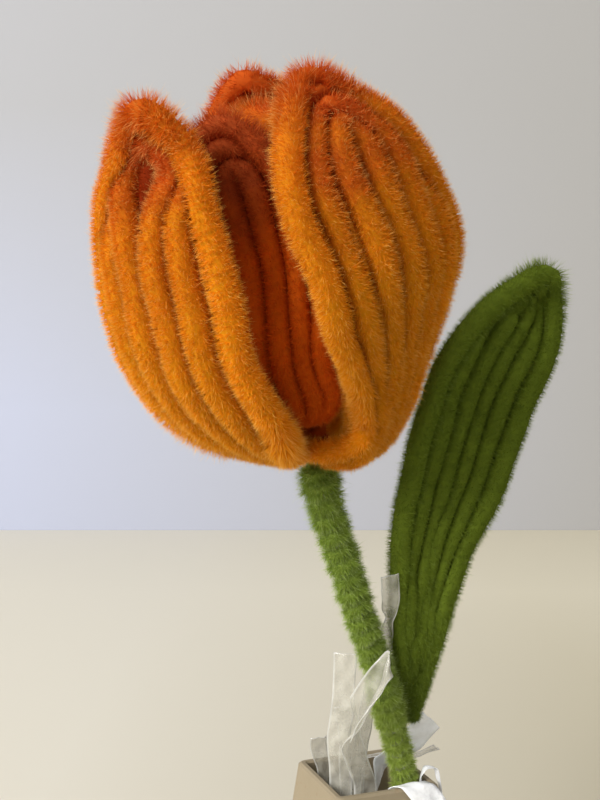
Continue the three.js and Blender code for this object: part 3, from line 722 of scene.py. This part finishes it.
def foam_material():
    """Floral foam, whose cells are darker in their middles: painted shade in the pits that the
    bumps make there.
    """
    nodes = Nodes("open_cell_foam")
    cells = nodes.add("ShaderNodeTexVoronoi")
    cells.inputs["Scale"].default_value = 1400.0
    nodes.link(nodes.position(), cells.inputs["Vector"])
    colour = nodes.ramp(cells.outputs["Distance"],
                        [(0.1, (0.5, 0.46, 0.37)), (0.6, (0.82, 0.79, 0.7))])
    skin = nodes.principled(Base_Color=colour, Roughness=0.95)
    nodes.bump(skin, cells.outputs["Distance"], strength=0.6, distance=0.0004)
    return nodes.finish(skin)


def wire_material():
    """Bright wires twisted together, shown by bumps and by slanted bands of painted light and
    shade.
    """
    nodes = Nodes("twisted_wire")
    wave = nodes.add("ShaderNodeTexWave", bands_direction="DIAGONAL")
    wave.inputs["Scale"].default_value = 420.0
    nodes.link(nodes.position(), wave.inputs["Vector"])
    colour = nodes.ramp(wave.outputs["Fac"], [(0.1, (0.2, 0.2, 0.21)), (0.8, (0.55, 0.55, 0.57))])
    skin = nodes.principled(Base_Color=colour, Metallic=1.0, Roughness=0.35)
    nodes.bump(skin, wave.outputs["Fac"], strength=0.6, distance=0.0003)
    return nodes.finish(skin)


def film_material(name, dull, bright, clear, hazy, through):
    """Clear film: wrinkled, hazier in some places than in others, with a painted highlight along
    its edges, where it is whiter and less clear.
    """
    nodes = Nodes(name)
    wrinkles = nodes.noise(scale=260.0, detail=3.0)
    haze = nodes.mapped(wrinkles, 0.3, 0.75, clear, hazy)
    # Painted highlight along the strip's edges.
    edge = nodes.mapped(nodes.attribute("edge"), 0.8, 1.0, 0.0, 0.4)
    tone = nodes.mix(edge, nodes.ramp(wrinkles, [(0.3, dull), (0.7, bright)]), (0.95, 0.96, 0.97))
    seen = nodes.math("ADD", haze, edge)
    skin = nodes.principled(Base_Color=tone, Roughness=0.12, Specular_IOR_Level=0.7, Alpha=seen)
    nodes.bump(skin, nodes.noise(scale=520.0, detail=2.0), strength=0.5, distance=0.0006)
    return nodes.finish_translucent(skin, tone, nodes.math("MULTIPLY", seen, through))


def give(node, material):
    """Puts a material on a CAD node that stays visible."""
    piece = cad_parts[node]
    piece.data.materials.clear()
    piece.data.materials.append(material)


give("vase", ceramic_material())
give("foam_block", foam_material())
give("stem_core", wire_material())


def dress(piece, material, node):
    """Gives a piece its finish, and lets it stand for a CAD node."""
    piece.data.materials.append(material)
    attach(piece, "root")
    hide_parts(node)


BODY_RADIUS = 2.0
PILE = 1.1
FOOT_BODY_RADIUS = 0.9
TIP_LENGTH = 9
TIP_PILE = 0.9
REDS = (0.05, 0.05, 0.0, -0.06)


def strand_sizes(v, tip, body, pile):
    """A strand's body radius and pile reach: both smaller where the strands meet at the foot, and
    the pile is longer by up to TIP_PILE of itself at the petal's tip."""
    grown = ease(v / FOOT_LENGTH)
    loose = 1 + TIP_PILE * ease((v - tip) / TIP_LENGTH + 1)
    return FOOT_BODY_RADIUS + (body - FOOT_BODY_RADIUS) * grown, pile * (0.7 + 0.3 * grown) * loose


def make_loops(name, form, surface, seed, density, body=BODY_RADIUS, pile=PILE, more=(), back=1.0,
               depth=0.5):
    """The nested loops of a petal or the leaf as one piece, with any more strands it has, which get
    painted light, and a strand behind its slit that is painted dark as shade. The painted shade in
    the grooves fades towards the tip."""
    fuzz = Fuzz(seed)
    place, tip = surface
    loops = loops_in(form)
    strands = []
    for k in range(loops):
        path, normal, v = loop_path(form, place, tip, k, fuzz.rng)
        radius, reach = strand_sizes(v, tip, body, pile)
        if "burst" in form and k == loops - 1:
            at, half, size = form["burst"]
            reach = reach * (1 + size * hump(v, at, half))
        strands.append((path, normal, radius, reach, depth * (1 - 0.7 * ease((v - tip) / 12 + 1))))
    for points in more:
        line = Line(points)
        path = line.at(np.arange(0, line.length, PATH_STEP))
        away = unit(path - BLOOM_BASE - 20 * BLOOM_UP)
        same = np.ones(len(path))
        strands.append((path, away, 0.8 * body * same, pile * same, depth))
    reds = form.get("reds", REDS)
    for k, (path, normal, radius, reach, fading_groove_shade) in enumerate(strands):
        others = np.concatenate([other[0] for other in strands[:k] + strands[k + 1:]])
        # Strands after the loops get painted light: a painted shade below 0.
        style = dict(swirl=fuzz.rng.uniform(-0.3, 0.3), back=back, depth=fading_groove_shade,
                     painted_shade=0.0 if k < loops else -0.2, red=reds[min(k, len(reds) - 1)])
        if form.get("ticked") == k:
            style.update(spread=0.5, twist=2.0, striped=0.22)
        else:
            style.update(spread=fuzz.rng.uniform(0.75, 1.1), striped=0.06)
        fuzz.add_strand(Strand(path, normal, radius, reach, density, **style), others)
    # The strand behind the slit is painted dark, with the roots' painted shade all over, as shade
    # in the slit.
    path, normal, size = slit_path(form, place, tip)
    fuzz.add_strand(Strand(path, normal, 1.6 * size, size, 0.4 * density, painted_shade=0.62, red=0.3,
                           painted_root_shade=1.0))
    return fuzz.make(name + "_pile")


# Fibres in a millimetre of a petal's strands
DENSITY = {
    "petal_outer_left": 360, "petal_outer_right": 320, "petal_outer_back": 230,
    "petal_inner_front": 215, "petal_inner_right": 160, "petal_inner_left": 130,
}
# The end of a strand of the front right petal that hooks over the bloom's foot
MORE_STRANDS = {
    "petal_outer_right": [
        [(-4.9, -49.6, 144.2), (-3.7, -45.7, 140.9), (-2.9, -42, 136.9), (-3.5, -40.5, 133.9),
         (-5.2, -37.5, 132.2), (-7.8, -34.5, 131.3), (-10.8, -32, 130.9), (-13.2, -30.5, 131.1)]],
}
thin = 1.0
for seed, (name, petal) in enumerate(PETALS.items(), start=11):
    outer = "outer" in name
    piece = make_loops(name, petal, petal_surface(petal), seed, DENSITY[name] * thin,
                       more=MORE_STRANDS.get(name, ()), back=0.4 if outer else 1.0,
                       depth=0.5 if outer else 0.3)
    dress(piece, inner_pile_painted_shade if name == "petal_inner_front" else outer_pile, name)
leaf = make_loops("leaf", LEAF, leaf_surface(), 31, 210 * thin, body=2.1, pile=1.05, depth=0.25)
dress(leaf, leaf_pile, "leaf")


def stem_distance(height):
    """The distance along the stem at which it passes a height."""
    return float(np.interp(height, STEM.points[:, 2], STEM.distance))


def helix(start, end, pitch, radius):
    """A path that winds round the stem from one distance to another, a little unevenly, its
    outward direction, and how far along it each point is. radius is its distance from the stem's
    middle at its start and end."""
    s = np.linspace(start, end, int((end - start) / pitch * 20))
    up = (s - start) / (end - start)
    t = STEM.along(s)
    right = unit(X_AXIS - t[:, :1] * t)
    turn = 2 * math.pi * (s - start) / pitch
    out = right * np.cos(turn)[:, None] + np.cross(t, right) * np.sin(turn)[:, None]
    uneven = 0.25 * np.sin(s * 1.3) * np.sin(s * 0.47 + 1)
    return (STEM.at(s) + out * (radius[0] + (radius[1] - radius[0]) * up + uneven)[:, None]
            + t * (1.6 * uneven)[:, None]), out, up


def make_stem_wrap():
    """Chenille wound round the core as a close helix. It bulges where it holds the leaf, and
    flares and bends a little to the left under the bloom."""
    fuzz = Fuzz(41)
    path, out, up = helix(stem_distance(WRAP_BOTTOM), stem_distance(BLOOM_BASE[2]) + 1, WRAP_PITCH,
                          (1.4, 1.75))
    flared = ease(up * 5 - 4)
    bulge = hump(path[:, 2], LEAF_LINE[0][2] + 6, 3.8)
    path = path - np.outer(flared, X_AXIS) * 0.9 + out * (0.5 * bulge)[:, None]
    radius = 0.8 + 0.35 * up + 0.2 * bulge + 0.2 * flared
    pile = 1.0 + 0.4 * up + 0.4 * flared
    fuzz.add_strand(Strand(path, out, radius, pile, 330 * thin, swirl=0.5, squeeze=False,
                           striped=0.16))
    return fuzz.make("stem_wrap_pile")


def make_bloom_collar():
    """The petals' ends, wound round the top of the core inside the bloom, with painted shade over
    them.
    """
    fuzz = Fuzz(43)
    path, out, up = helix(stem_distance(BLOOM_BASE[2]) + 2, STEM.length, 2.6, (1.2, 1.2))
    same = np.ones(len(up))
    # Painted shade over the collar inside the bloom.
    fuzz.add_strand(Strand(path, out, 1.3 * same, 0.6 * same, 150 * thin, painted_shade=0.3, red=0.4))
    return fuzz.make("bloom_collar_pile")


dress(make_stem_wrap(), stem_pile, "stem_wrap")
collar = make_bloom_collar()
collar.data.materials.append(inner_pile_painted_shade)
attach(collar, "root")


def in_mouth(x, y, z):
    """A point given along the mouth's front edge, away from it, and up."""
    cos, sin = math.cos(VASE_YAW), math.sin(VASE_YAW)
    return (x * cos - y * sin, x * sin + y * cos, z)


# Each film strip: its width, the directions of its width along it, and points on its middle line
EDGE_WAYS = in_mouth(1, 0, 0)
IN_WAYS = in_mouth(0, 1, 0)
IN_FOAM = FOAM_TOP + 1
FILMS = {
    "film_strip_folded": (4.8, [EDGE_WAYS, EDGE_WAYS, (-0.6, 0, 0.7), (-0.3, 0, 0.9), (0, 0.3, 0.9),
                                (0.3, 0.9, 0.1), (0.3, 0.9, 0.1)], [
        in_mouth(-3, -6.6, IN_FOAM), in_mouth(-3.2, -6.6, 62.5), (-3.9, -12.6, 72.9),
        (-2.6, -17, 81), (0.4, -19.6, 87), (3, -20.8, 90.6), (3.1, -22, 90.6), (1.2, -23.6, 87),
        (-1.6, -23.6, 82.2), (-4, -22, 77)]),
    "film_strip_tall": (3.4, [EDGE_WAYS, EDGE_WAYS, EDGE_WAYS, EDGE_WAYS, (0.9, -0.5, 0),
                              (0.4, -0.9, 0), (0.9, 0.1, 0.2), (0.9, 0.1, 0.2)], [
        in_mouth(-1.4, 2.4, IN_FOAM), in_mouth(-1.4, 1.6, 62), (-0.4, -3.2, 74), (0.9, -5.9, 83),
        (2.9, -9.9, 91), (3.4, -14, 97), (3.5, -17, 101.6), (3.2, -17.9, 106.4)]),
    "film_strip_broad": (4.6, [(0.9, -0.3, 0)], [
        in_mouth(-6.8, -2.6, IN_FOAM), in_mouth(-7, -3.2, 62.5), (-6.2, -8.4, 71.5),
        (-5.2, -10.4, 79.1), (-4.8, -11.4, 90)]),
    "film_strip_middle": (4.4, [(0.9, -0.2, 0.1)], [
        in_mouth(-3, 0.6, IN_FOAM), in_mouth(-3.6, 0.2, 62), (-3.6, -3.8, 70), (-4.8, -6.4, 78)]),
    "film_strip_left": (3.6, [EDGE_WAYS], [
        in_mouth(-6.8, 5.4, IN_FOAM), in_mouth(-7, 5.2, 62), (-9.8, 0.6, 66.5),
        (-9.8, -2.6, 70.2)]),
    "film_strip_right": (5.2, [IN_WAYS, (0.7, 0.2, -0.7), (0.7, 0.2, -0.7)], [
        in_mouth(3.4, 3.4, IN_FOAM), in_mouth(4.4, 3.2, 62), (9.4, 1.2, 68), (13.2, -1, 73.3)]),
    "film_strip_low": (2.4, [IN_WAYS], [
        in_mouth(0.4, 7.2, IN_FOAM), in_mouth(2.4, 7.2, 62.4), (10.8, 5, 63.8), (15.2, 4.4, 65.6)]),
    "film_fold_front": (7, [EDGE_WAYS], [
        in_mouth(3.9, -8.85, 56), in_mouth(3.9, -8.85, 61.5), in_mouth(4.6, -9.6, 62.6),
        in_mouth(6, -11.4, 62.6), in_mouth(7.8, -12.5, 60), in_mouth(10.2, -13.4, 55)]),
    "film_fold_right": (1.8, [in_mouth(0.8, 0.6, 0), IN_WAYS, IN_WAYS], [
        in_mouth(8.4, -7.9, 56), in_mouth(8.4, -7.9, 63), in_mouth(9.2, -8.2, 64.8),
        in_mouth(11.4, -8.4, 64.4), in_mouth(12.4, -8.4, 61), in_mouth(12.9, -8.4, 57)]),
}
# These strips get the near-white film: a painted highlight where they catch the window's light.
GLINT_PAINTED_FILMS = ("film_strip_right", "film_fold_front", "film_fold_right")
FILM_THICKNESS = 0.12
FILM_COLUMNS = 9
FILM_STEP = 0.4


def film_middle(width_ways, corners):
    """Points along a film strip that is straight between its corners, which are only slightly
    rounded, with the distance, the direction along and the direction of its width at each."""
    at = np.concatenate([[0], np.cumsum(np.linalg.norm(np.diff(corners, axis=0), axis=1))])
    s = np.arange(0, at[-1], FILM_STEP)
    middle = np.stack([np.interp(s, at, c) for c in corners.T], -1)
    for _ in range(2):
        middle[1:-1] = (middle[:-2] + 2 * middle[1:-1] + middle[2:]) / 4
    along = unit(np.gradient(middle, axis=0))
    index = np.arange(len(corners))
    knots = np.linspace(0, len(corners) - 1, len(width_ways))
    turns = unit(np.stack([np.interp(index, knots, c) for c in width_ways.T], -1))
    wide = unit(np.stack([np.interp(s, at, c) for c in turns.T], -1))
    return s, middle, along, wide


def make_film(name, width, ways, points, seed):
    """A thin crinkled ribbon. ways are the directions of its width, spread evenly over its
    points."""
    rng = np.random.default_rng(seed)
    s, middle, along, wide = film_middle(np.array(ways, float), np.array(points, float))
    face = unit(np.cross(along, wide))
    phase = rng.uniform(0, 2 * math.pi, 4)
    grid = []
    for c in np.linspace(-0.5, 0.5, FILM_COLUMNS):
        crinkle = (0.14 * np.sin(s / 1.9 + 5 * c + phase[0])
                   + 0.1 * np.sin(s / 0.9 - 9 * c + phase[1])
                   + 0.08 * np.sin(11 * c + s / 3.7 + phase[2]))
        edge = width * c * (1 + 0.03 * np.sin(s / 2.3 + phase[3]))
        grid.append(middle + wide * edge[:, None] + face * crinkle[:, None])
    rows = len(s)
    quads = []
    for i in range(rows - 1):
        for j in range(FILM_COLUMNS - 1):
            k = i * FILM_COLUMNS + j
            quads.append((k, k + 1, k + FILM_COLUMNS + 1, k + FILM_COLUMNS))
    mesh = bpy.data.meshes.new(name)
    mesh.from_pydata((np.stack(grid, 1).reshape(-1, 3) * MM).tolist(), [], quads)
    to_side = np.tile(np.abs(np.linspace(-1, 1, FILM_COLUMNS)), (rows, 1))
    to_side[-1] = 1
    attribute = mesh.attributes.new("edge", "FLOAT", "POINT")
    attribute.data.foreach_set("value", to_side.ravel().astype(np.float32))
    piece = add_object(name, mesh)
    solid = piece.modifiers.new("thickness", "SOLIDIFY")
    solid.thickness = FILM_THICKNESS * MM
    solid.offset = 0
    for polygon in mesh.polygons:
        polygon.use_smooth = True
    return piece


clear_film = film_material("clear_film", dull=(0.46, 0.44, 0.37), bright=(0.62, 0.60, 0.52),
                           clear=0.24, hazy=0.40, through=0.3)
# Painted highlight: near-white, nearly opaque film for the strips that catch the light.
glint_painted_film = film_material("film_with_painted_glint", dull=(0.95, 0.96, 0.97), bright=(1.0, 1.0, 1.0),
                           clear=0.8, hazy=1.0, through=0.35)
for seed, (name, (width, ways, points)) in enumerate(FILMS.items(), start=61):
    piece = make_film(name + "_sheet", width, ways, points, seed)
    dress(piece, glint_painted_film if name in GLINT_PAINTED_FILMS else clear_film, name)


# The camera, at the photograph's viewing angle
FOCAL_PIXELS = 1100
IMAGE_HEIGHT = 800
camera_data = bpy.data.cameras.new("camera")
camera_data.sensor_fit = "VERTICAL"
camera_data.sensor_height = 24.0
camera_data.lens = camera_data.sensor_height * FOCAL_PIXELS / IMAGE_HEIGHT
camera_data.clip_start = 0.01
camera = add_object("camera", camera_data)
camera.location = (-0.0136, -0.222, 0.148)
camera.rotation_euler = (math.radians(87.5), 0, 0)
bpy.context.scene.camera = camera

# The stage and the lights, in metres. The wall's colour starts just in front of it.
WALL_DISTANCE = 0.688
WALL_COLOUR_START = 0.6875
BLOOM_MIDDLE = (-0.015, -0.03, 0.14)


def make_stage():
    """A pale table against a pale wall far behind. Painted window light: the wall is lighter and
    bluer at its lower left, and darker at its right. Painted shadow: the table is darker at its
    right, and more so in front."""
    nodes = Nodes("stage")
    split = nodes.add("ShaderNodeSeparateXYZ")
    nodes.link(nodes.position(), split.inputs[0])
    across, away, height = (split.outputs[key] for key in "XYZ")
    on_wall = nodes.math("GREATER_THAN", away, WALL_COLOUR_START)
    # Painted window light on the wall: lighter and bluer low on its left, darker to its right.
    wall_left = nodes.mix(nodes.mapped(height, 0.1, 0.35, 0.0, 1.0),
                          (0.445, 0.47, 0.575), (0.385, 0.385, 0.40))
    wall = nodes.mix(nodes.mapped(across, -0.25, 0.25, 0.0, 1.0), wall_left, (0.39, 0.38, 0.365))
    far = nodes.mapped(away, 0.0, 0.45, 0.0, 1.0)
    # Painted shadow on the table: darker to its right, and most in front at its right.
    table = nodes.mix(nodes.mapped(across, -0.1, 0.12, 0.0, 1.0),
                      nodes.mix(far, (0.62, 0.58, 0.485), (0.70, 0.655, 0.55)),
                      nodes.mix(far, (0.34, 0.295, 0.19), (0.69, 0.63, 0.48)))
    skin = nodes.principled(Base_Color=nodes.mix(on_wall, table, wall), Roughness=0.9)
    material = nodes.finish(skin)
    profile = [(-2.0, 0.0), (WALL_DISTANCE, 0.0), (WALL_DISTANCE, 2.0)]
    points = [(x, y, z) for y, z in profile for x in (-2.5, 2.5)]
    faces = [(2 * k, 2 * k + 1, 2 * k + 3, 2 * k + 2) for k in range(len(profile) - 1)]
    mesh = bpy.data.meshes.new("stage")
    mesh.from_pydata(points, [], faces)
    mesh.materials.append(material)
    piece = add_object("stage", mesh)


def area_light(name, place, power, colour, size=0.9):
    """A soft square light at a place, turned to face the bloom."""
    data = bpy.data.lights.new(name, "AREA")
    data.shape = "SQUARE"
    data.size = size
    data.energy = power
    data.color = colour
    light = add_object(name, data)
    light.location = place
    towards = unit(np.array(BLOOM_MIDDLE) - np.array(place))
    light.rotation_euler = (math.acos(-towards[2]), 0, math.atan2(-towards[0], towards[1]))


make_stage()
area_light("window", (-1.05, -0.9, 0.8), 40, (1.0, 0.99, 0.97))
area_light("fill", (0.5, -0.9, 0.5), 2.0, (1.0, 0.98, 0.96))
world = bpy.data.worlds.new("soft_light")
world.use_nodes = True
world.node_tree.nodes["Background"].inputs["Color"].default_value = (0.93, 0.95, 1.0, 1.0)
world.node_tree.nodes["Background"].inputs["Strength"].default_value = 0.54
bpy.context.scene.world = world
bpy.context.scene.view_settings.view_transform = "Standard"
